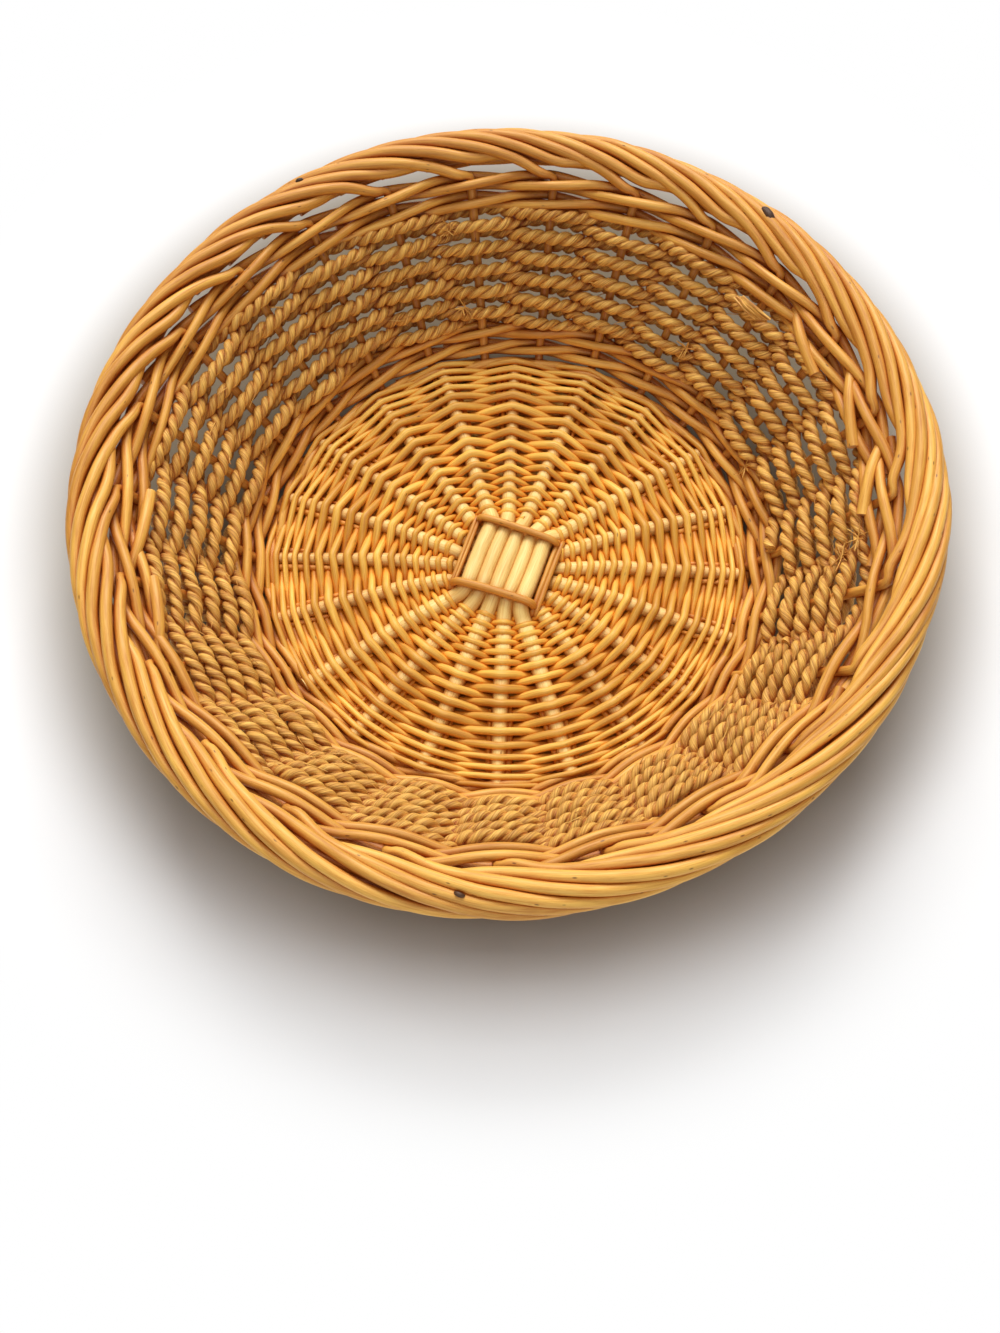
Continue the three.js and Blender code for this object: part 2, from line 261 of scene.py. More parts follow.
def border_points(place, turn, orbit):
    """Points in the border: along it, round its core and at a distance from the core's middle."""
    angle = wall_angle(place)
    radius = BORDER_RADIUS + np.interp(angle % TURN, BORDER_DRIFT_ANGLES, BORDER_DRIFT)
    radius = radius + BORDER_FLATNESS * orbit * np.cos(turn)
    return polar(radius, angle, BORDER_HEIGHT + orbit * np.sin(turn))


def floor_height(radius):
    """Height of the middle of the base weave."""
    return BASE_EDGE_HEIGHT + BASE_CROWN * (1 - (radius / BASE_RADIUS) ** 2)


def stick_radius(radius):
    """Half the thickness of a base stick, at a distance from the axis."""
    sizes = base_sizes()
    return np.interp(radius, (0, BASE_RADIUS), (sizes.stick_middle / 2, sizes.stick_edge / 2))


def spoke_angle(spoke):
    """The angle of a place among the spokes of the base, from the first arm's middle stick."""
    drift = np.interp(
        np.asarray(spoke) % SPOKES, np.arange(SPOKES + 1), (*SPOKE_DRIFT, SPOKE_DRIFT[0])
    )
    return ARM_DIRECTION + np.asarray(spoke) * TURN / SPOKES + np.radians(drift)


def base_points(reach, spoke, height):
    """Points of the base, at distances from its middle, which sits a little off the axis."""
    points = polar(np.asarray(reach, float), spoke_angle(spoke), height)
    points[..., 1] += SQUARE_SHIFT * np.interp(reach, (0.020, 0.050), (1.0, 0.0))
    return points


def row_rise(place, rows, step_stakes):
    """Level rows, each with a step up to the next one over its last few stakes."""
    row = np.minimum(np.floor(place / STAKES), rows - 1)
    late = np.clip((place - row * STAKES - (STAKES - step_stakes)) / step_stakes, 0, 1)
    return row + np.where(row < rows - 1, late * late * (3 - 2 * late), 0)


def line(points, radii, tone):
    """A rod's middle line with its half thickness at each point, and its tone from 0 to 1."""
    points = np.asarray(points, float)
    return points, np.broadcast_to(np.asarray(radii, float), len(points)), tone


# Node trees

# What the points of a sweep carry: the rod's tone, half thickness and length, and the place on
# its section
ROD_ATTRIBUTES = {
    "rod_tone": "FLOAT",
    "rod_radius": "FLOAT",
    "rod_length": "FLOAT",
    "rod_section": "FLOAT_VECTOR",
}

# The inputs of the sweep: distance between rings and corners of a ring, how far and over what
# length a rod wavers, the share by which it swells, and the length of a full turn of a rope
SWEEP_INPUTS = {
    "Geometry": "Geometry",
    "Ring Step": "Float",
    "Sides": "Int",
    "Waver": "Float",
    "Waver Length": "Float",
    "Swelling": "Float",
    "Lay": "Float",
    "Seed": "Int",
    "Material": "Material",
}

# How the rods of each piece are swept, as values of these inputs
SWEEP_COLUMNS = ("Ring Step", "Sides", "Waver", "Waver Length", "Swelling", "Seed")
SWEEPS = {
    "base_sticks": (0.0018, 14, 0.0009, 0.02, 0.05, 2),
    "slath_ties": (0.0008, 12, 0.0004, 0.012, 0.04, 3),
    "base_weave": (0.0016, 8, 0.0008, 0.016, 0.05, 4),
    "stake_butts": (0.003, 8, 0.0006, 0.03, 0.05, 5),
    "upsett_weavers": (0.002, 10, 0.0007, 0.03, 0.04, 6),
    "top_wale_weavers": (0.002, 12, 0.0009, 0.035, 0.04, 7),
    "stakes": (0.002, 12, 0.0010, 0.035, 0.04, 8),
    "border_rods": (0.002, 12, 0.0012, 0.04, 0.04, 9),
    "knots": (0.0006, 10, 0.0003, 0.004, 0.15, 15),
    "rope_fibres": (0.0012, 6, 0.0006, 0.006, 0.05, 14),
}

# Sockets of a mix of colours: the share of the second colour, both colours, and the result
MIX_SHARE, MIX_FIRST, MIX_SECOND = 0, 6, 7
MIX_RESULT = 2


def add_node(tree, kind, inputs=None, **settings):
    """Adds a node with its settings; an input is a value, or the socket or node that feeds it."""
    node = tree.nodes.new(kind)
    for name, value in settings.items():
        setattr(node, name, value)
    for socket, value in (inputs or {}).items():
        if isinstance(value, bpy.types.Node):
            value = value.outputs[0]
        if isinstance(value, bpy.types.NodeSocket):
            tree.links.new(value, node.inputs[socket])
        else:
            node.inputs[socket].default_value = value
    return node


def sweep_tree(name, strands):
    """Sweeps a round section, or a rope's section of twisted strands, along lines.

    rod_place is stored as the place along the rod and across its section, for the materials.
    """
    tree = bpy.data.node_groups.new(name, "GeometryNodeTree")
    for socket, kind in SWEEP_INPUTS.items():
        tree.interface.new_socket(socket, in_out="INPUT", socket_type=f"NodeSocket{kind}")
    tree.interface.new_socket("Geometry", in_out="OUTPUT", socket_type="NodeSocketGeometry")
    inlet = add_node(tree, "NodeGroupInput").outputs
    stored = {}
    for attribute, kind in ROD_ATTRIBUTES.items():
        node = add_node(
            tree, "GeometryNodeInputNamedAttribute", {"Name": attribute}, data_type=kind
        )
        stored[attribute] = node.outputs[0]
    half = stored["rod_radius"]
    curve = add_node(tree, "GeometryNodeMeshToCurve", {"Mesh": inlet["Geometry"]})
    smooth = add_node(
        tree, "GeometryNodeCurveSplineType", {"Curve": curve}, spline_type="CATMULL_ROM"
    )
    even = add_node(
        tree, "GeometryNodeResampleCurve", {"Curve": smooth, "Length": inlet["Ring Step"]},
        mode="LENGTH",
    )

    # Each rod wavers and swells in its own way, by a noise with the rod's tone and the seed in W
    position = add_node(tree, "GeometryNodeInputPosition")
    spread = add_node(
        tree, "ShaderNodeMath", {0: stored["rod_tone"], 1: 43.0, 2: inlet["Seed"]},
        operation="MULTIPLY_ADD",
    )
    fineness = add_node(
        tree, "ShaderNodeMath", {0: 1.0, 1: inlet["Waver Length"]}, operation="DIVIDE"
    )
    noise = add_node(
        tree, "ShaderNodeTexNoise",
        {"Vector": position, "W": spread, "Scale": fineness, "Detail": 1.0}, noise_dimensions="4D",
    )
    amount, spot = noise.outputs["Fac"], noise.outputs["Color"]
    centred = add_node(
        tree, "ShaderNodeVectorMath", {0: spot, 1: (0.5, 0.5, 0.5)}, operation="SUBTRACT"
    )
    offset = add_node(
        tree, "ShaderNodeVectorMath", {0: centred, "Scale": inlet["Waver"]}, operation="SCALE"
    )
    wavy = add_node(tree, "GeometryNodeSetPosition", {"Geometry": even, "Offset": offset})
    low = add_node(tree, "ShaderNodeMath", {0: 1.0, 1: inlet["Swelling"]}, operation="SUBTRACT")
    high = add_node(tree, "ShaderNodeMath", {0: 1.0, 1: inlet["Swelling"]}, operation="ADD")
    swell = add_node(
        tree, "ShaderNodeMapRange",
        {"Value": amount, "From Min": 0.3, "From Max": 0.7, "To Min": low, "To Max": high},
    )
    radius = add_node(tree, "ShaderNodeMath", {0: half, 1: swell}, operation="MULTIPLY")

    length = add_node(tree, "GeometryNodeSplineParameter").outputs["Length"]
    swept = wavy
    if strands > 1:
        turns = add_node(tree, "ShaderNodeMath", {0: length, 1: inlet["Lay"]}, operation="DIVIDE")
        uneven = add_node(
            tree, "ShaderNodeMath", {0: amount, 1: 0.5, 2: turns}, operation="MULTIPLY_ADD"
        )
        tilt = add_node(tree, "ShaderNodeMath", {0: uneven, 1: -TURN}, operation="MULTIPLY")
        swept = add_node(tree, "GeometryNodeSetCurveTilt", {"Curve": swept, "Tilt": tilt})
    for attribute, value in (("rod_length", length), ("rod_radius", radius)):
        swept = add_node(
            tree, "GeometryNodeStoreNamedAttribute",
            {"Geometry": swept, "Name": attribute, "Value": value},
        )

    circle = add_node(
        tree, "GeometryNodeCurvePrimitiveCircle", {"Resolution": inlet["Sides"], "Radius": 1.0}
    )
    section_position = add_node(tree, "GeometryNodeInputPosition")
    section = add_node(
        tree, "GeometryNodeStoreNamedAttribute",
        {"Geometry": circle, "Name": "rod_section", "Value": section_position},
        data_type="FLOAT_VECTOR",
    )
    if strands > 1:
        # Two round strands pressed together: the section narrows to a deep groove between them
        parts = add_node(tree, "ShaderNodeSeparateXYZ", {0: section_position})
        side = add_node(tree, "ShaderNodeMath", {0: parts.outputs["X"]}, operation="ABSOLUTE")
        reach = add_node(tree, "ShaderNodeFloatCurve", {"Value": side})
        curve_points = reach.mapping.curves[0].points
        curve_points[0].location = (0.0, 0.30)
        curve_points[1].location = (1.0, 1.0)
        for beside, width in ((0.12, 0.50), (0.3, 0.67), (0.65, 0.88)):
            curve_points.new(beside, width)
        reach.mapping.update()
        scaled = add_node(
            tree, "ShaderNodeVectorMath", {0: section_position, "Scale": reach}, operation="SCALE"
        )
        section = add_node(
            tree, "GeometryNodeSetPosition", {"Geometry": section, "Position": scaled}
        )
    tube = add_node(
        tree, "GeometryNodeCurveToMesh",
        {"Curve": swept, "Profile Curve": section, "Scale": half, "Fill Caps": True},
    )

    # The place across the section, in metres, from the unit section and the half thickness
    across = add_node(
        tree, "ShaderNodeVectorMath", {0: stored["rod_section"], "Scale": half}, operation="SCALE"
    )
    parts = add_node(tree, "ShaderNodeSeparateXYZ", {0: across})
    joined = add_node(
        tree, "ShaderNodeCombineXYZ",
        {"X": stored["rod_length"], "Y": parts.outputs["X"], "Z": parts.outputs["Y"]},
    )
    placed = add_node(
        tree, "GeometryNodeStoreNamedAttribute",
        {"Geometry": tube, "Name": "rod_place", "Value": joined}, data_type="FLOAT_VECTOR",
    )
    shaded = add_node(tree, "GeometryNodeSetShadeSmooth", {"Geometry": placed})
    real = add_node(tree, "GeometryNodeRealizeInstances", {"Geometry": shaded})
    finished = add_node(
        tree, "GeometryNodeSetMaterial", {"Geometry": real, "Material": inlet["Material"]}
    )
    add_node(tree, "NodeGroupOutput", {"Geometry": finished})
    return tree


def line_mesh(name, lines):
    """A mesh of open lines of edges, with each point's half thickness and each rod's tone."""
    counts = [len(points) for points, _, _ in lines]
    # Each point begins an edge, but for the last one of a line
    starts = np.setdiff1d(np.arange(sum(counts)), np.cumsum(counts) - 1)
    edges = np.stack([starts, starts + 1], 1)
    mesh = bpy.data.meshes.new(name)
    mesh.from_pydata(
        np.concatenate([points for points, _, _ in lines]).tolist(), edges.tolist(), []
    )
    for attribute, values in (
        ("rod_radius", np.concatenate([radii for _, radii, _ in lines])),
        ("rod_tone", np.repeat([tone for _, _, tone in lines], counts)),
    ):
        stored = mesh.attributes.new(attribute, "FLOAT", "POINT")
        stored.data.foreach_set("value", values.astype(np.float32))
    return mesh


def make_piece(name, lines, material, nodes, sweep=None, lay=0.0):
    """Sweeps lines into one plain mesh, which rides on the tray and stands for CAD nodes."""
    kind, strands = ("Laid rope", 2) if lay else ("Willow rods", 1)
    tree = bpy.data.node_groups.get(kind) or sweep_tree(kind, strands)
    piece = bpy.data.objects.new(name, line_mesh(name, lines))
    bpy.context.scene.collection.objects.link(piece)
    modifier = piece.modifiers.new("Sweep", "NODES")
    modifier.node_group = tree
    values = dict(zip(SWEEP_COLUMNS, sweep or SWEEPS[name]), Lay=lay, Material=material)
    for item in tree.interface.items_tree:
        if item.in_out == "INPUT" and item.name in values:
            modifier[item.identifier] = values[item.name]
    evaluated = piece.evaluated_get(bpy.context.evaluated_depsgraph_get())
    mesh = bpy.data.meshes.new_from_object(evaluated)
    piece.modifiers.clear()
    lines_only = piece.data
    piece.data = mesh
    bpy.data.meshes.remove(lines_only)
    mesh.name = name
    mark_cut_ends(mesh)
    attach(piece, "root")
    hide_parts(*nodes)


def mark_cut_ends(mesh):
    """The caps of the rods are the faces with more than four corners."""
    sides = np.zeros(len(mesh.polygons), np.int32)
    mesh.polygons.foreach_get("loop_total", sides)
    cut = mesh.attributes.new("cut_end", "FLOAT", "FACE")
    cut.data.foreach_set("value", (sides > 4).astype(np.float32))
    mesh.polygons.foreach_set("use_smooth", sides <= 4)


# Materials


def new_material(name):
    material = bpy.data.materials.new(name)
    material.use_nodes = True
    return material, material.node_tree, material.node_tree.nodes["Principled BSDF"]


def rod_cells(tree, tone, along, across):
    """Places on the rods in cells of a length and a width, moved apart by each rod's tone."""
    place = add_node(tree, "ShaderNodeAttribute", attribute_name="rod_place").outputs["Vector"]
    apart = add_node(
        tree, "ShaderNodeVectorMath", {0: (3.1, 5.7, 7.3), "Scale": tone}, operation="SCALE"
    )
    moved = add_node(tree, "ShaderNodeVectorMath", {0: place, 1: apart}, operation="ADD")
    scale = (1 / along, 1 / across, 1 / across)
    return add_node(tree, "ShaderNodeMapping", {"Vector": moved, "Scale": scale})


def rod_noise(tree, tone, along, across, detail=3.0):
    """Noise that is drawn out along a rod, its grain given as lengths along and across."""
    cells = rod_cells(tree, tone, along, across)
    inputs = {"Vector": cells, "Scale": 1.0, "Detail": detail}
    return add_node(tree, "ShaderNodeTexNoise", inputs).outputs["Fac"]


def streaked(tree, noise, start, end, share, colour, streak, **blend):
    """The colour with a streak over it, up to a share as the noise goes from start to end."""
    amount = add_node(
        tree, "ShaderNodeMapRange",
        {"Value": noise, "From Min": start, "From Max": end, "To Max": share},
    )
    inputs = {MIX_SHARE: amount, MIX_FIRST: colour, MIX_SECOND: streak}
    return add_node(tree, "ShaderNodeMix", inputs, data_type="RGBA", **blend).outputs[MIX_RESULT]


def painted_crevice_shade(tree, colour, reach, brown):
    """The colour, browner in the crevices between rods: painted shade, laid on by ambient
    occlusion.
    """
    near = add_node(tree, "ShaderNodeAmbientOcclusion", {"Distance": reach}, samples=3)
    brown = (*linear_colour(brown), 1)
    return streaked(tree, near.outputs["AO"], 0.82, 0.3, 1.0, colour, brown, blend_type="MULTIPLY")


# The willows: their light and dark colour among the finishes, the roughness, the share of cells
# with a speck, and the brown of the painted shade in the crevices
WILLOWS = {
    # Stakes, wales, ties and border: honey-coloured, with a soft shine and many small specks
    "Buff willow": ("buff", "buff_dark", 0.52, 0.45, "#CC860C"),
    # Base weave: thinner rods of a brighter honey colour, with fewer specks
    "Fine buff willow": ("fine", "fine_dark", 0.52, 0.16, "#F8BE44"),
    # Base sticks: creamy, matt and almost free of specks
    "White willow": ("white", "white_dark", 0.55, 0.05, "#CC9436"),
    # Dried bark in the scar of a side shoot: dark brown and dull
    "Willow bark": ("bark", "bark_dark", 0.6, 0.0, "#A88060"),
}


def willow_material(name):
    """Peeled willow: satin wood with a fine long grain, blotches, dark specks and pale cut ends.

    Each rod has its own tone, so neighbours differ as rods from different stems do.
    """
    found = bpy.data.materials.get(name)
    if found:
        return found
    material, tree, shader = new_material(name)
    light, dark, roughness, speck_share, crevice_shade = WILLOWS[name]
    light, dark = (*getattr(finishes(), light), 1), (*getattr(finishes(), dark), 1)
    tone = add_node(tree, "ShaderNodeAttribute", attribute_name="rod_tone").outputs["Fac"]

    # Blotches about 25 mm long and 3 mm across shift each rod's tone along its length
    blotch = rod_noise(tree, tone, 0.025, 0.003)
    drift = add_node(
        tree, "ShaderNodeMapRange",
        {"Value": blotch, "From Min": 0.3, "From Max": 0.7, "To Min": -0.32, "To Max": 0.32},
    )
    shade = add_node(tree, "ShaderNodeMath", {0: tone, 1: drift}, operation="ADD", use_clamp=True)
    body = add_node(
        tree, "ShaderNodeMix", {MIX_SHARE: shade, MIX_FIRST: light, MIX_SECOND: dark},
        data_type="RGBA",
    ).outputs[MIX_RESULT]

    # Grain lines 0.5 mm apart and 12 mm long
    grain = rod_noise(tree, tone, 0.012, 0.0005)
    grained = streaked(tree, grain, 0.42, 0.72, 0.55, body, dark, blend_type="MULTIPLY")

    # Small dark specks where side shoots and leaves sat, on a share of the cells of a cell pattern
    speck_cells = rod_cells(tree, tone, 0.008, 0.0028)
    cells = add_node(tree, "ShaderNodeTexVoronoi", {"Vector": speck_cells, "Scale": 1.0})
    distance = cells.outputs["Distance"]
    near = add_node(
        tree, "ShaderNodeMapRange",
        {"Value": distance, "From Min": 0.06, "From Max": 0.15, "To Min": 0.85, "To Max": 0.0},
    )
    chance = add_node(tree, "ShaderNodeSeparateColor", {0: cells.outputs["Color"]})
    chosen = add_node(
        tree, "ShaderNodeMapRange",
        {"Value": chance, "From Min": 1 - speck_share, "From Max": 1.01 - speck_share},
    )
    speck = add_node(tree, "ShaderNodeMath", {0: near, 1: chosen}, operation="MULTIPLY")
    cut = add_node(tree, "ShaderNodeAttribute", attribute_name="cut_end").outputs["Fac"]

    # The specks lie over the grain, and cut ends show the pale wood
    colour = grained
    for share, code in ((speck, "#7A4516"), (cut, "#D9AE72")):
        colour = add_node(
            tree, "ShaderNodeMix",
            {MIX_SHARE: share, MIX_FIRST: colour, MIX_SECOND: (*linear_colour(code), 1)},
            data_type="RGBA",
        ).outputs[MIX_RESULT]
    # Painted shade browns the crevices between the rods
    tree.links.new(painted_crevice_shade(tree, colour, 0.006, crevice_shade), shader.inputs["Base Color"])

    relief = add_node(
        tree, "ShaderNodeMath", {0: speck, 1: -0.8, 2: grain}, operation="MULTIPLY_ADD"
    )
    bump = add_node(
        tree, "ShaderNodeBump", {"Strength": 0.35, "Distance": 0.00012, "Height": relief}
    )
    tree.links.new(bump.outputs[0], shader.inputs["Normal"])
    smoothest, roughest = roughness - 0.06, roughness + 0.08
    gloss = add_node(
        tree, "ShaderNodeMapRange",
        {"Value": grain, "From Min": 0.3, "From Max": 0.7, "To Min": smoothest, "To Max": roughest},
    )
    tree.links.new(gloss.outputs[0], shader.inputs["Roughness"])
    shader.inputs["IOR"].default_value = 1.5
    return material


def seagrass_material():
    """Dry seagrass in two twisted strands: dull fibres along each strand, leaf by leaf in tones."""
    found = bpy.data.materials.get("Twisted seagrass")
    if found:
        return found
    material, tree, shader = new_material("Twisted seagrass")
    tone = add_node(tree, "ShaderNodeAttribute", attribute_name="rod_tone").outputs["Fac"]
    light = (*finishes().grass, 1)
    dark = (*finishes().grass_dark, 1)
    straw = (*linear_colour("#FAD280"), 1)

    # Leaves differ over about 14 mm of rope and 1.6 mm of its girth
    leaf = rod_noise(tree, tone, 0.014, 0.0016, 2.0)
    colour = streaked(tree, leaf, 0.36, 0.68, 0.75, light, dark)

    # Fibres of about 0.2 mm, drawn 0.45 mm apart so that they show: their streaks, with painted
    # shade in the gaps between them and a painted highlight on their backs
    fibre = rod_noise(tree, tone, 0.006, 0.00045)
    colour = streaked(tree, fibre, 0.44, 0.68, 0.72, colour, dark, blend_type="MULTIPLY")
    colour = streaked(tree, fibre, 0.45, 0.3, 0.55, colour, straw)
    # Painted shade browns the crevices between the strands and rows of the rope
    tree.links.new(painted_crevice_shade(tree, colour, 0.005, "#C48014"), shader.inputs["Base Color"])
    bump = add_node(tree, "ShaderNodeBump", {"Strength": 0.8, "Distance": 0.0004, "Height": fibre})
    tree.links.new(bump.outputs[0], shader.inputs["Normal"])
    shader.inputs["Roughness"].default_value = 0.62
    shader.inputs["IOR"].default_value = 1.5
    return material


# Pieces


class TRAY_OT_base_sticks(bpy.types.Operator):
    """Make the ten sticks of the base, five through five in the middle square."""

    bl_idname = "tray.base_sticks"
    bl_label = "Base Sticks"

    def execute(self, context):
        draw = np.random.default_rng(11)
        lane_step = 0.0064
        overlap = 0.0003
        middle_join = 0.0190
        straight = np.array([0.006, 0.0165])
        lines = []
        # The sticks taper from the near side to the far one, and the upper five are the thicker
        for first_spoke, layer, ends in ((0, 1, (1.02, 1.24)), (15, -1, (1.04, 1.0))):
            lift = layer * (stick_radius(0) - overlap)
            for lane in range(-2, 3):
                halves = []
                for side, lane_side in enumerate((lane, -lane)):
                    # Straight through the square, then fanned out to the spoke
                    direction = ARM_DIRECTION + first_spoke * TURN / SPOKES + math.pi * side
                    bearing = direction + np.arctan2(lane_side * lane_step, straight)
                    inner = polar(np.hypot(straight, lane * lane_step), bearing, lift)
                    inner[:, 1] += SQUARE_SHIFT
                    spread = abs(lane) * TURN / SPOKES
                    join = middle_join if lane == 0 else abs(lane) * lane_step / math.sin(spread)
                    end = BASE_RADIUS + draw.uniform(0, 0.0015)
                    reach = np.array([join + lane_step, 0.036, 0.052, 0.070, 0.087, end])
                    outer = base_points(reach, first_spoke + SPOKES // 2 * side + lane_side, 0.0)
                    halves.append(np.concatenate([inner, outer]))
                points = np.concatenate([halves[1][::-1], halves[0]])
                radius = np.hypot(points[:, 0], points[:, 1])
                points[:, 2] += floor_height(radius)
                taper = np.linspace(ends[1], ends[0], len(points))
                half = stick_radius(radius) * taper * draw.uniform(0.95, 1.04)
                lines.append(line(points, half, draw.uniform(0, 0.5)))
        nodes = [f"{kind}_stick_{i}" for kind in ("base", "cross") for i in range(1, 6)]
        make_piece("base_sticks", lines, willow_material("White willow"), nodes)
        return {"FINISHED"}


class TRAY_OT_slath_ties(bpy.types.Operator):
    """Make the rods tied round the square of sticks in the middle of the base."""

    bl_idname = "tray.slath_ties"
    bl_label = "Ties of the Square"

    def execute(self, context):
        draw = np.random.default_rng(12)
        half = base_sizes().tie / 2
        stick = stick_radius(0)
        middle = np.array([0.0, SQUARE_SHIFT])
        along = np.array([-0.0212, -0.0192, -0.0172, -0.008, 0.0, 0.008, 0.0172, 0.0192, 0.0212])
        lines = []
        for quarter, distances, thickness in SQUARE_TIES:
            angle = ARM_DIRECTION + quarter * TURN / 4
            out = np.array([math.cos(angle), math.sin(angle)])
            side = np.array([-out[1], out[0]])
            for distance in distances:
                thick = half * thickness * draw.uniform(0.95, 1.05)
                top = (2 * stick if quarter % 2 == 0 else 0.85 * stick) + thick
                # Both ends go down beside the sticks and under the weave
                height = np.array([-0.0040, 0.0, top * 0.8, top, top, top, top * 0.8, 0.0, -0.0040])
                skew = draw.uniform(-0.0005, 0.0005)
                place = middle + np.outer(distance + skew * along / 0.02, out)
                place = place + np.outer(along, side)
                points = np.column_stack([place, floor_height(0.019) + height])
                lines.append(line(points, thick, draw.uniform(0.85, 1.0)))
        nodes = ["slath_tie_inner", "slath_tie_outer"]
        make_piece("slath_ties", lines, willow_material("Buff willow"), nodes)
        return {"FINISHED"}


class TRAY_OT_base_weave(bpy.types.Operator):
    """Make the two weavers that wind out through the base sticks."""

    bl_idname = "tray.base_weave"
    bl_label = "Base Weave"

    def execute(self, context):
        draw = np.random.default_rng(13)
        sizes = base_sizes()
        points_per_spoke = 8
        sharpness = 0.5
        lines = []
        for first_spoke, first_side in ((0, 1), (SPOKES // 2, -1)):
            radius = [WEAVE_START]
            while radius[-1] < BASE_RADIUS + 0.0028:
                share = np.interp(radius[-1], *ROW_SHARE)
                radius.append(radius[-1] + 2 * sizes.row * share / SPOKES)
            steps = len(radius) - 1
            step = np.arange(0, steps + 1e-9, 1 / points_per_spoke)
            reach = np.interp(step, np.arange(steps + 1), radius)
            part = step % 1
            turnover = np.where(np.floor(step) % 2 == 0, 1, -1) * first_side
            rounded, pointed = np.cos(math.pi * part), 1 - 2 * part
            wave = turnover * ((1 - sharpness) * rounded + sharpness * pointed)
            half = sizes.weaver / 2 * np.interp(reach, *WEAVER_SHARE)
            inner_share = np.interp(reach, EDGE_ROWS, (1, 0))
            edge_share = np.interp(reach, EDGE_ROWS, (0, 1))
            half = inner_share * half + edge_share * sizes.weaver_edge / 2
            # A rod spans straight from spoke to spoke, and is pressed flat where it crosses one
            pull = np.interp(reach, *CHORD_PULL)
            chord = (math.cos(TURN / SPOKES / 2) / np.cos((part - 0.5) * TURN / SPOKES)) ** pull
            rise = (stick_radius(reach) * 0.78 + half * 0.72) * wave
            points = base_points(reach * chord, first_spoke + step, floor_height(reach) + rise)
            half = half * (0.96 + 0.07 * np.abs(wave))
            points[:, 2] = np.maximum(points[:, 2], half + 0.0002)
            # Rods of about 0.55 m follow one another, their ends hidden under a stick
            last = len(step) - 1
            start = 0
            while start < last:
                length = draw.uniform(0.42, 0.62)
                run = np.cumsum(np.linalg.norm(np.diff(points[start:], axis=0), axis=1))
                end = start + int(np.searchsorted(run, length)) + 1
                while end < last and not (part[end] < 1e-6 and wave[end] < 0):
                    end += 1
                end = min(end, last)
                if last - end < 5 * points_per_spoke:
                    end = last
                taper = np.linspace(1.07, 0.92, end + 1 - start)
                span = slice(start, end + 1)
                lines.append(line(points[span], half[span] * taper, draw.beta(1.6, 2.2)))
                start = end
        nodes = ["base_weaver_a", "base_weaver_b"]
        make_piece("base_weave", lines, willow_material("Fine buff willow"), nodes)
        return {"FINISHED"}


class TRAY_OT_stake_butts(bpy.types.Operator):
    """Make the butts of the stakes, pushed into the base weave beside the sticks."""

    bl_idname = "tray.stake_butts"
    bl_label = "Stake Butts"

    def execute(self, context):
        draw = np.random.default_rng(14)
        butt = base_sizes().butt
        taper = np.array([0.45, 0.8, 1, 1.05, 1.08])
        taken = {}
        lines = []
        for stake in range(STAKES):
            spoke = round((wall_angle(stake) - ARM_DIRECTION) / (TURN / SPOKES)) % SPOKES
            row = taken.get(spoke, 0)
            taken[spoke] = row + 1
            for side in (-1, 1):
                inner = draw.uniform(0.066, 0.088)
                reach = np.array([inner, inner + 0.003, inner + 0.010, 0.092, 0.1015])
                aside = side * (stick_radius(reach) + butt * (0.48 + 0.95 * row))
                height = floor_height(reach) - draw.uniform(0.0002, 0.0012)
                points = polar(reach, spoke_angle(spoke) + aside / reach, height)
                half = butt / 2 * taper * draw.uniform(0.85, 1.1)
                lines.append(line(points, half, draw.uniform(0.1, 0.9)))
        make_piece("stake_butts", lines, willow_material("Fine buff willow"), [])
        return {"FINISHED"}


def wale_line(index, first, last, length, half, off, stack, tone):
    """One rod of a row of waling: inside one stake and outside two, over a run of places."""
    stops = np.array([0, 0.25, 0.5, 0.75, 1, 1.5, 2, 2.25, 2.5, 2.75])
    cycles = [stops + 3 * cycle for cycle in range(-2, STAKES * 4 // 3)]
    place = np.sort(np.concatenate(cycles)) + index
    place = np.concatenate([[first], place[(place > first + 0.1) & (place < last - 0.1)], [last]])
    phase = (place - index) % 3
    depth = np.where(phase < 1, -off * np.cos(math.pi * phase), off)
    depth = np.where(phase > 2, off * np.cos(math.pi * (phase - 2)), depth)
    rises = np.array([0, -0.95, -1, 0, 1, 0.95, 0]) * stack / 2
    lift = np.interp(phase, (0, 0.5, 1, 1.5, 2, 2.5, 3), rises)
    # The next rod's butt lies outside, under the tip of the last one
    fresh = np.clip(1 - (place - first) / 0.7, 0, 1)
    spent = np.clip(1 - (last - place) / 0.7, 0, 1)
    lift = lift + (spent - fresh) * stack * 0.45
    depth = depth + (spent - fresh) * stack * 0.2
    points = wall_points(place, length(place) + lift, depth)
    points[:, 2] = np.maximum(points[:, 2], half * 1.15)
    return line(points, half * np.linspace(1.07, 0.92, len(place)), tone)


def waling(rows, half, off, stack, rod_places, seed):
    """Rows of three-rod waling, each rod following on from the one before it outside the stakes."""
    draw = np.random.default_rng(seed)
    last_place = len(rows) * STAKES - 2
    overlap = 0.4

    def length(place):
        return np.interp(row_rise(place, len(rows), 3), np.arange(len(rows)), rows)

    lines = []
    for index in range(3):
        starts = [index - 1.7]
        while starts[-1] < last_place - rod_places:
            starts.append(starts[-1] + 3 * round(rod_places / 3 + draw.integers(-1, 2)))
        ends = [start + overlap for start in starts[1:]] + [last_place + draw.uniform(-0.3, 0.3)]
        for start, end in zip(starts, ends):
            tone = draw.beta(1.8, 2.2)
            lines.append(wale_line(index, start, end, length, half, off, stack, tone))
    return lines


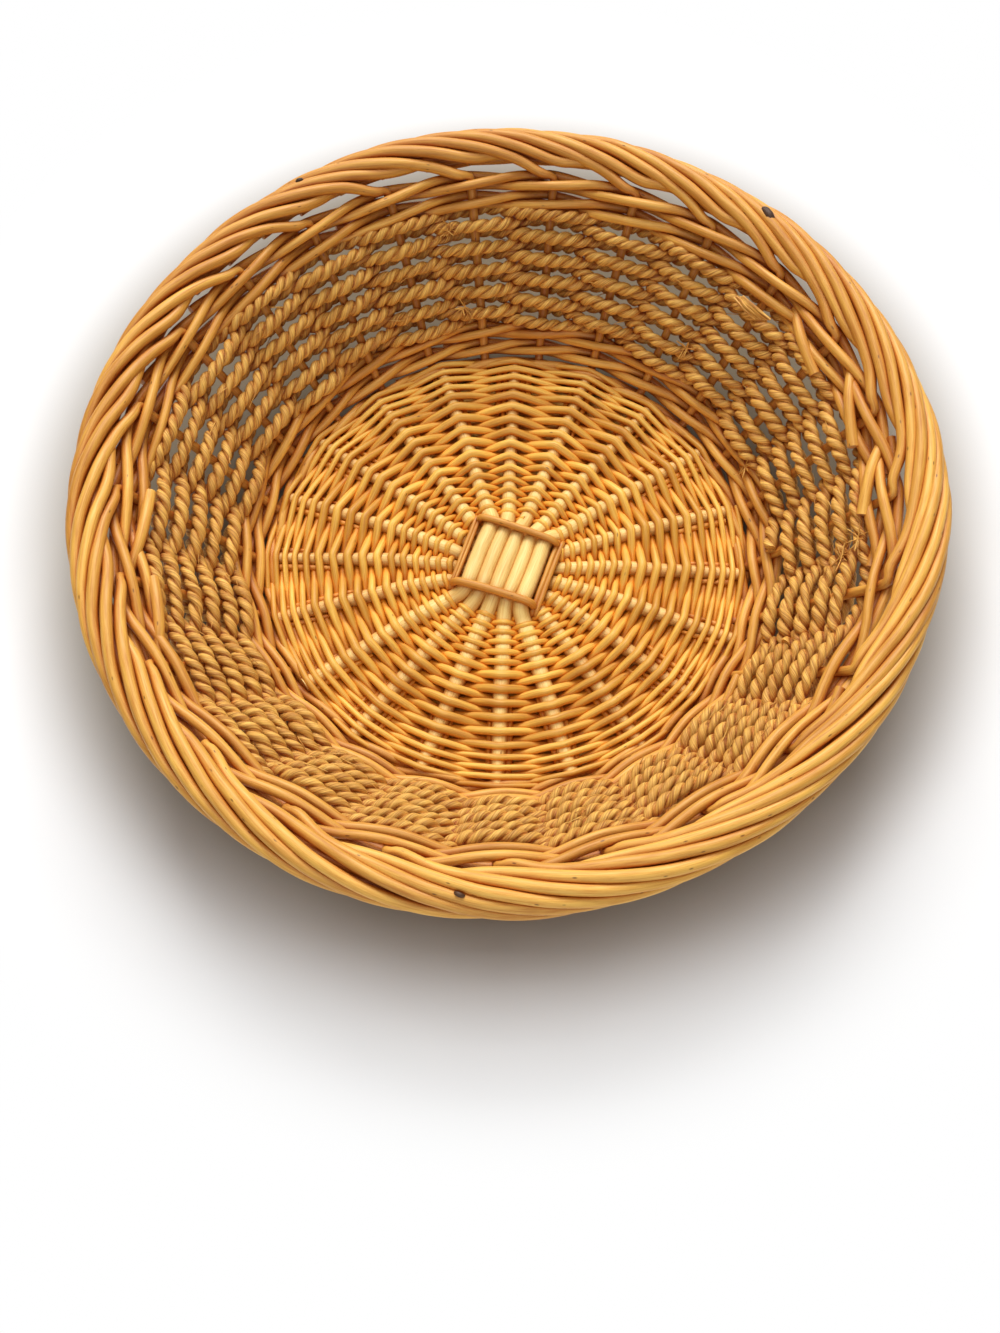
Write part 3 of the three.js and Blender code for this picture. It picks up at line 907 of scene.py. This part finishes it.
class TRAY_OT_upsett(bpy.types.Operator):
    """Make the three rows of willow waling at the foot of the wall."""

    bl_idname = "tray.upsett"
    bl_label = "Upsett"

    def execute(self, context):
        half = wall_sizes().upsett / 2
        off = (wall_sizes().stake / 2 + half) * 0.68
        lines = waling(UPSETT_ROWS, half, off, stack=2 * half * 0.92, rod_places=13, seed=21)
        nodes = [f"upsett_weaver_{i}" for i in (1, 2, 3)]
        make_piece("upsett_weavers", lines, willow_material("Buff willow"), nodes)
        return {"FINISHED"}


class TRAY_OT_top_wale(bpy.types.Operator):
    """Make the two rows of willow waling under the border, and the cut ends under them."""

    bl_idname = "tray.top_wale"
    bl_label = "Top Wale"

    def execute(self, context):
        draw = np.random.default_rng(23)
        half = wall_sizes().wale / 2
        off = (wall_sizes().stake / 2 + half) * 0.88
        lines = waling(WALE_ROWS, half, off, stack=0.0045, rod_places=12, seed=22)
        along = np.array([0.0, 0.3, 0.6, 0.82, 1.0])
        depth = np.array([-0.0050, -0.0056, -0.0046, -0.0018, 0.0015])
        taper = np.array([1.2, 1.16, 1.12, 1.05, 1.0])
        for cut_angle, cut_length, far_angle, far_length in ROD_ENDS:
            place = wall_place(np.radians(cut_angle + (far_angle - cut_angle) * along))
            points = wall_points(place, cut_length + (far_length - cut_length) * along, depth)
            lines.append(line(points, half * taper, draw.uniform(0.2, 0.7)))
        nodes = [f"top_wale_weaver_{i}" for i in (1, 2, 3)]
        make_piece("top_wale_weavers", lines, willow_material("Buff willow"), nodes)
        return {"FINISHED"}


class TRAY_OT_stakes(bpy.types.Operator):
    """Make the stakes, each hooked over at the top to become a rod of the border."""

    bl_idname = "tray.stakes"
    bl_label = "Stakes"

    def execute(self, context):
        draw = np.random.default_rng(15)
        upright = wall_sizes().stake / 2
        rod = border_sizes().rod / 2
        lengths = np.array([-0.004, 0, 0.0038, 0.0076, 0.015, 0.028, 0.042, 0.056, 0.070, 0.082])
        depths = np.where(lengths < 0.078, 0.0, 0.0004)
        # The stake bends over sideways at the knuckle, where it is pinched
        knuckle_places = np.array([0.0, 0.01, 0.05, 0.16])
        knuckle_lengths = KNUCKLE + np.array([-0.0030, -0.0006, 0.0004, 0.0014])
        knuckle_depths = np.array([0.0, -0.0002, -0.0008, -0.0016])
        bent = [upright, rod * 0.80, rod * 0.76, rod * 0.90]
        lines = []
        for stake in range(STAKES):
            wall = wall_points(stake + draw.uniform(-0.012, 0.012), lengths, depths)
            knuckle = wall_points(stake + knuckle_places, knuckle_lengths, knuckle_depths)
            wrap = border_wrap(stake, draw)
            points = np.concatenate([wall, knuckle, wrap[1:]])
            wrapped = border_taper(len(wrap) - 1) * rod
            half = np.concatenate([np.full(len(wall), upright), bent, wrapped])
            lines.append(line(points, half * draw.uniform(0.95, 1.06), border_tone_and_shade(stake, draw)))
        nodes = [f"stake_{i:02d}" for i in range(1, STAKES + 1)]
        make_piece("stakes", lines, willow_material("Buff willow"), nodes)
        return {"FINISHED"}


def border_wrap(first_place, draw):
    """A border rod's way: from the inner side over the top, under the outer side and in again."""
    place = first_place + np.arange(0, 12) / 2
    # The hand winds the rods steeper on one side of the tray than on the other
    steps = WRAP_STEP * (1 + 0.17 * np.cos(wall_angle(place[:-1] + 0.25) - math.radians(150)))
    turned = np.concatenate([[0], np.cumsum(steps)])
    kept = turned < math.radians(325)
    # The tip goes in towards the core
    tucked = 0.0026 * np.clip((turned - 4.3) / 1.3, 0, 1)
    orbit = border_sizes().orbit + draw.uniform(-0.0004, 0.0006) - tucked
    turn = WRAP_START - turned + draw.uniform(-0.11, 0.11)
    return border_points(place[kept], turn[kept], orbit[kept])


def border_tone_and_shade(stake, draw):
    """A border rod's tone: random, with painted shade that makes the rods darker towards the far
    side of the tray.
    """
    return float(np.clip(draw.beta(1.7, 2.3) + 0.36 * math.sin(wall_angle(stake + 2)), 0, 1))


def border_taper(count):
    """How a border rod thins towards its tip."""
    return np.interp(np.arange(count), (0, 6, count - 1), (1.0, 0.95, 0.55))


class TRAY_OT_border(bpy.types.Operator):
    """Make the second rod of each stake in the rolled border, and the rods of its core."""

    bl_idname = "tray.border"
    bl_label = "Border"

    def execute(self, context):
        draw = np.random.default_rng(16)
        rod = border_sizes().rod / 2
        # The second rod's butt is pushed in under the first rod, just past the first one's bend
        butt_places = np.array([0.1, 0.4, 0.65])
        butt_turns = np.radians([135, 146, 152])
        butt_orbits = np.array([0.0012, 0.0036, 0.0060])
        lines = []
        for stake in range(STAKES):
            wrap = border_wrap(stake + 0.5, draw)
            begin = stake + draw.uniform(0.0, 0.15)
            start = border_points(begin + butt_places, butt_turns, butt_orbits)
            points = np.concatenate([start, wrap[1:]])
            half = np.concatenate([np.full(3, rod), border_taper(len(wrap) - 1) * rod])
            lines.append(line(points, half * draw.uniform(0.95, 1.06), border_tone_and_shade(stake, draw)))
        core_rods = 5
        core_orbit = 0.0027
        for strand in range(core_rods):
            place = np.arange(0, STAKES + 1.01, 0.5)
            points = border_points(place, strand * TURN / core_rods - place * 0.9, core_orbit)
            lines.append(line(points, border_sizes().core / 2, draw.uniform(0.3, 0.9)))
        nodes = ["border_core"]
        make_piece("border_rods", lines, willow_material("Buff willow"), nodes)
        return {"FINISHED"}


class TRAY_OT_knots(bpy.types.Operator):
    """Make the brown scars that cut side shoots left on the rods of the border."""

    bl_idname = "tray.knots"
    bl_label = "Knots"

    def execute(self, context):
        draw = np.random.default_rng(18)
        stake_step = TURN * BORDER_RADIUS / STAKES
        crest = border_sizes().orbit + border_sizes().rod / 2
        along = np.array([-1.0, -0.5, 0.5, 1.0])
        lines = []
        for angle, turn, half in KNOTS:
            # A scar lies along its rod, which turns by a step in half a place; its ends sink in
            shift = along * half * 1.7 / stake_step
            place = wall_place(math.radians(angle)) + shift
            depth = crest - half * np.array([1.7, 0.5, 0.4, 1.6])
            points = border_points(place, math.radians(turn) - 2 * WRAP_STEP * shift, depth)
            lines.append(line(points, half * np.array([0.8, 1.0, 1.0, 0.7]), draw.uniform(0, 1)))
        make_piece("knots", lines, willow_material("Willow bark"), [])
        return {"FINISHED"}


def rope_line(place):
    """Length up the stakes and depth of the middle of the rope, at a place along it."""
    sizes = wall_sizes()
    wave = np.cos(math.pi * place)
    depth = -(sizes.stake / 2 + sizes.rope / 2 * 0.82) * np.sign(wave) * np.abs(wave) ** 0.8
    return ROPE_FIRST + ROPE_PITCH * row_rise(place, ROPE_ROWS, 4), depth


class TRAY_OT_rope(bpy.types.Operator):
    """Make the seagrass rope, woven in front of one stake and behind the next."""

    bl_idname = "tray.rope"
    bl_label = "Seagrass Rope"

    def execute(self, context):
        sizes = wall_sizes()
        place = np.arange(0, ROPE_ROWS * STAKES - 2 + 1e-9, 1 / 8)
        length, depth = rope_line(place)
        points = wall_points(place, length, depth)
        # Three pieces, to keep each mesh light
        bounds = [0, round(len(place) * 0.36), round(len(place) * 0.69), len(place) - 1]
        rings_per_turn = 11
        for part, label in enumerate(("lower", "middle", "upper")):
            span = slice(bounds[part], bounds[part + 1] + 1)
            lines = [line(points[span], sizes.rope / 2, 0.2 + 0.3 * part)]
            sweep = (sizes.lay / rings_per_turn, 20, 0.0023, 0.018, 0.15, 10 + part)
            name = f"seagrass_rope_{label}"
            nodes = ["seagrass_rope"]
            make_piece(name, lines, seagrass_material(), nodes, sweep, sizes.lay)
        return {"FINISHED"}


class TRAY_OT_rope_fibres(bpy.types.Operator):
    """Make the loose fibres of the rope, the tufts where its leaves end, and a folded leaf."""

    bl_idname = "tray.rope_fibres"
    bl_label = "Rope Fibres"

    def execute(self, context):
        draw = np.random.default_rng(17)
        half = wall_sizes().rope / 2
        # About the distance between two stakes at the height of the rope
        stake_step = 0.036
        along = np.array([0.0, 0.35, 0.7, 1.0])
        lift_off = np.array([-0.0004, 0.0001, 0.0007, 0.0016])
        fibres = 260
        leaves_per_tuft = 16
        lines = []
        for _ in range(fibres):
            first_place = draw.uniform(1, ROPE_ROWS * STAKES - 3)
            place = first_place + along * draw.uniform(0.004, 0.011) / stake_step
            length, depth = rope_line(place)
            face = draw.choice((-1, -1, 1))
            turn = draw.uniform(-1.2, 1.2)
            away = half * 0.93 + lift_off * draw.uniform(0.4, 1.5)
            length = length + np.sin(turn) * away + along * draw.uniform(-0.003, 0.003)
            points = wall_points(place, length, depth + face * np.cos(turn) * away)
            thick = draw.uniform(0.00013, 0.00024) * np.array([1, 1, 0.9, 0.5])
            lines.append(line(points, thick, draw.uniform(0, 0.6)))
        for angle, length in TUFTS:
            row = round((length - ROPE_FIRST) / ROPE_PITCH)
            place = wall_place(math.radians(angle)) + STAKES * max(row, 0)
            row_length, depth = rope_line(place)
            for _ in range(leaves_per_tuft):
                way = draw.uniform(0, TURN)
                reach = along * draw.uniform(0.003, 0.007)
                inward = draw.uniform(0.0004, 0.0024) * along + half * 0.85
                leaf_place = place + draw.uniform(-0.04, 0.04) + reach * math.cos(way) / stake_step
                leaf_length = (length + row_length) / 2 + reach * math.sin(way)
                points = wall_points(leaf_place, leaf_length, -abs(depth) - inward)
                thick = draw.uniform(0.00016, 0.00034) * np.array([1.2, 1, 0.9, 0.6])
                lines.append(line(points, thick, draw.uniform(0, 0.5)))
        # A leaf folded over the two top rows, as flat strips side by side
        for strip in np.linspace(0, 1, 6):
            angle = 40.6 - 6.6 * along + strip * (1.2 + 0.9 * along) + draw.uniform(-0.15, 0.15)
            length = 0.0748 + 0.0006 * along - strip * (0.0032 + 0.0012 * along)
            depth = -0.0086 - 0.0014 * np.sin(math.pi * along) - draw.uniform(0, 0.0005)
            points = wall_points(wall_place(np.radians(angle)), length, depth)
            lines.append(line(points, 0.0008 * np.array([0.8, 1, 1, 0.7]), draw.uniform(0, 0.35)))
        make_piece("rope_fibres", lines, seagrass_material(), [])
        return {"FINISHED"}


class TRAY_OT_stage(bpy.types.Operator):
    """Set up the floor, the lights and the camera."""

    bl_idname = "tray.stage"
    bl_label = "Stage"

    def execute(self, context):
        scene = context.scene
        scene.view_settings.view_transform = "Standard"
        make_floor()
        make_world(scene)
        add_area_light("Window light", (0.05, 1.68, 1.76), (1.8, 1.2), 70)
        add_area_light("Ceiling light", (-0.1, -0.1, 1.7), (1.0, 1.0), 6.8)
        add_area_light("Front fill", (0.0, -1.2, 0.9), (1.0, 1.0), 5.4)
        make_camera(scene)
        return {"FINISHED"}


def make_floor():
    """A wide white paper floor with painted shade under and round the tray, pure white well away
    from it.
    """
    half = 3.0
    mesh = bpy.data.meshes.new("floor")
    corners = [(-half, -half, 0), (half, -half, 0), (half, half, 0), (-half, half, 0)]
    mesh.from_pydata(corners, [], [(0, 1, 2, 3)])
    floor = bpy.data.objects.new("floor", mesh)
    bpy.context.scene.collection.objects.link(floor)
    material, tree, shader = new_material("White paper")
    shader.inputs["Roughness"].default_value = 0.9
    shader.inputs["Specular IOR Level"].default_value = 0.1
    # The paper has painted shade: warm under the woven base, dull round the tray; it grows white
    # softly further off
    place = add_node(tree, "ShaderNodeTexCoord").outputs["Object"]
    distance = add_node(tree, "ShaderNodeVectorMath", {0: place}, operation="LENGTH")
    foot = add_node(
        tree, "ShaderNodeMapRange",
        {"Value": distance.outputs["Value"], "From Min": 0.094, "From Max": 0.106},
    )
    # The painted shadow ring reaches further on the window's side, where the tray hardly shades the
    # paper
    painted_shadow_middle = (0.0, 0.03, 0.0)
    ring = add_node(
        tree, "ShaderNodeVectorMath", {0: place, 1: painted_shadow_middle}, operation="DISTANCE"
    ).outputs["Value"]
    rim = add_node(
        tree, "ShaderNodeMapRange", {"Value": ring, "From Min": 0.172, "From Max": 0.248},
        interpolation_type="SMOOTHSTEP",
    )
    # Painted warm shade under the woven base, then a painted dull shadow round the tray
    colour = (*linear_colour("#F0B45C"), 1)
    for share, outer in ((foot, linear_colour("#827765")), (rim, finishes().floor)):
        colour = add_node(
            tree, "ShaderNodeMix", {MIX_SHARE: share, MIX_FIRST: colour, MIX_SECOND: (*outer, 1)},
            data_type="RGBA",
        ).outputs[MIX_RESULT]
    tree.links.new(colour, shader.inputs["Base Color"])
    ray = add_node(tree, "ShaderNodeLightPath")
    seen = add_node(
        tree, "ShaderNodeMath", {0: ray.outputs["Is Camera Ray"], 1: ray.outputs["Is Glossy Ray"]},
        operation="MAXIMUM",
    )
    # Near the tray the paper keeps the tray's shadow; further off it is pure white
    clean = add_node(
        tree, "ShaderNodeMapRange", {"Value": ring, "From Min": 0.205, "From Max": 0.3},
        interpolation_type="SMOOTHSTEP",
    )
    share = add_node(tree, "ShaderNodeMath", {0: clean, 1: seen}, operation="MULTIPLY")
    white = add_node(tree, "ShaderNodeEmission", {"Color": (1, 1, 1, 1), "Strength": 1.0})
    blend = add_node(tree, "ShaderNodeMixShader", {0: share, 1: shader, 2: white})
    tree.links.new(blend.outputs[0], tree.nodes["Material Output"].inputs["Surface"])
    mesh.materials.append(material)


def make_world(scene):
    """Soft light from all round; the camera sees white."""
    world = bpy.data.worlds.new("Studio")
    scene.world = world
    world.use_nodes = True
    tree = world.node_tree
    ray = add_node(tree, "ShaderNodeLightPath")
    seen = add_node(
        tree, "ShaderNodeMath",
        {0: ray.outputs["Is Camera Ray"], 1: ray.outputs["Is Transmission Ray"]},
        operation="MAXIMUM",
    )
    around = add_node(
        tree, "ShaderNodeBackground", {"Color": (1.0, 0.97, 0.93, 1), "Strength": 0.14}
    )
    white = add_node(tree, "ShaderNodeBackground", {"Color": (1, 1, 1, 1), "Strength": 1.0})
    blend = add_node(tree, "ShaderNodeMixShader", {0: seen, 1: around, 2: white})
    tree.links.new(blend.outputs[0], tree.nodes["World Output"].inputs["Surface"])


def add_area_light(name, place, panel, power):
    """A soft light panel of a width and height, that points at the middle of the tray."""
    tray_middle = Vector((0, 0, 0.04))
    light = bpy.data.lights.new(name, "AREA")
    light.shape = "RECTANGLE"
    light.size, light.size_y = panel
    light.energy = power
    lamp = bpy.data.objects.new(name, light)
    lamp.location = place
    lamp.rotation_mode = "QUATERNION"
    lamp.rotation_quaternion = (tray_middle - Vector(place)).to_track_quat("-Z", "Y")
    bpy.context.scene.collection.objects.link(lamp)


def make_camera(scene):
    """The photograph's view: from the near side, 67 degrees above the horizon, 0.72 m away."""
    elevation = math.radians(67.3)
    roll = math.radians(-3.0)
    distance = 0.72
    target = Vector((-0.005, -0.066, 0.0445))
    focal_pixels = 1743
    picture_height = 1333
    sensor = 36
    back = Vector((0, -math.cos(elevation), math.sin(elevation)))
    right = Vector((1, 0, 0))
    up = back.cross(right)
    turned_right = right * math.cos(roll) + up * math.sin(roll)
    turned_up = up * math.cos(roll) - right * math.sin(roll)
    data = bpy.data.cameras.new("Camera")
    data.sensor_width = sensor
    data.lens = focal_pixels * sensor / picture_height
    camera = bpy.data.objects.new("Camera", data)
    turned = Matrix((turned_right, turned_up, back)).transposed().to_4x4()
    camera.matrix_world = Matrix.Translation(target + back * distance) @ turned
    scene.collection.objects.link(camera)
    scene.camera = camera


class TRAY_PT_pieces(bpy.types.Panel):
    """Lists the tray's sizes, colours and pieces."""

    bl_label = "Wicker Tray"
    bl_space_type = "VIEW_3D"
    bl_region_type = "UI"
    bl_category = "Tray"

    def draw(self, context):
        for group_name in GROUPS:
            group = getattr(context.scene, group_name)
            box = self.layout.box()
            for name in group.__annotations__:
                box.prop(group, name)
        for operator in OPERATORS:
            self.layout.operator(operator.bl_idname)


OPERATORS = (
    TRAY_OT_base_sticks,
    TRAY_OT_slath_ties,
    TRAY_OT_base_weave,
    TRAY_OT_stake_butts,
    TRAY_OT_stakes,
    TRAY_OT_upsett,
    TRAY_OT_rope,
    TRAY_OT_rope_fibres,
    TRAY_OT_top_wale,
    TRAY_OT_border,
    TRAY_OT_knots,
    TRAY_OT_stage,
)
GROUPS = {
    "tray_base": BaseSizes,
    "tray_wall": WallSizes,
    "tray_border": BorderSizes,
    "tray_finishes": Finishes,
}


def register():
    for group in GROUPS.values():
        bpy.utils.register_class(group)
    for name, group in GROUPS.items():
        setattr(bpy.types.Scene, name, bpy.props.PointerProperty(type=group))
    for operator in OPERATORS:
        bpy.utils.register_class(operator)
    bpy.utils.register_class(TRAY_PT_pieces)


def unregister():
    bpy.utils.unregister_class(TRAY_PT_pieces)
    for operator in reversed(OPERATORS):
        bpy.utils.unregister_class(operator)
    for name, group in reversed(GROUPS.items()):
        delattr(bpy.types.Scene, name)
        bpy.utils.unregister_class(group)


def main():
    register()
    for operator in OPERATORS:
        getattr(bpy.ops.tray, operator.bl_idname.removeprefix("tray."))()


if __name__ == "__main__":
    main()
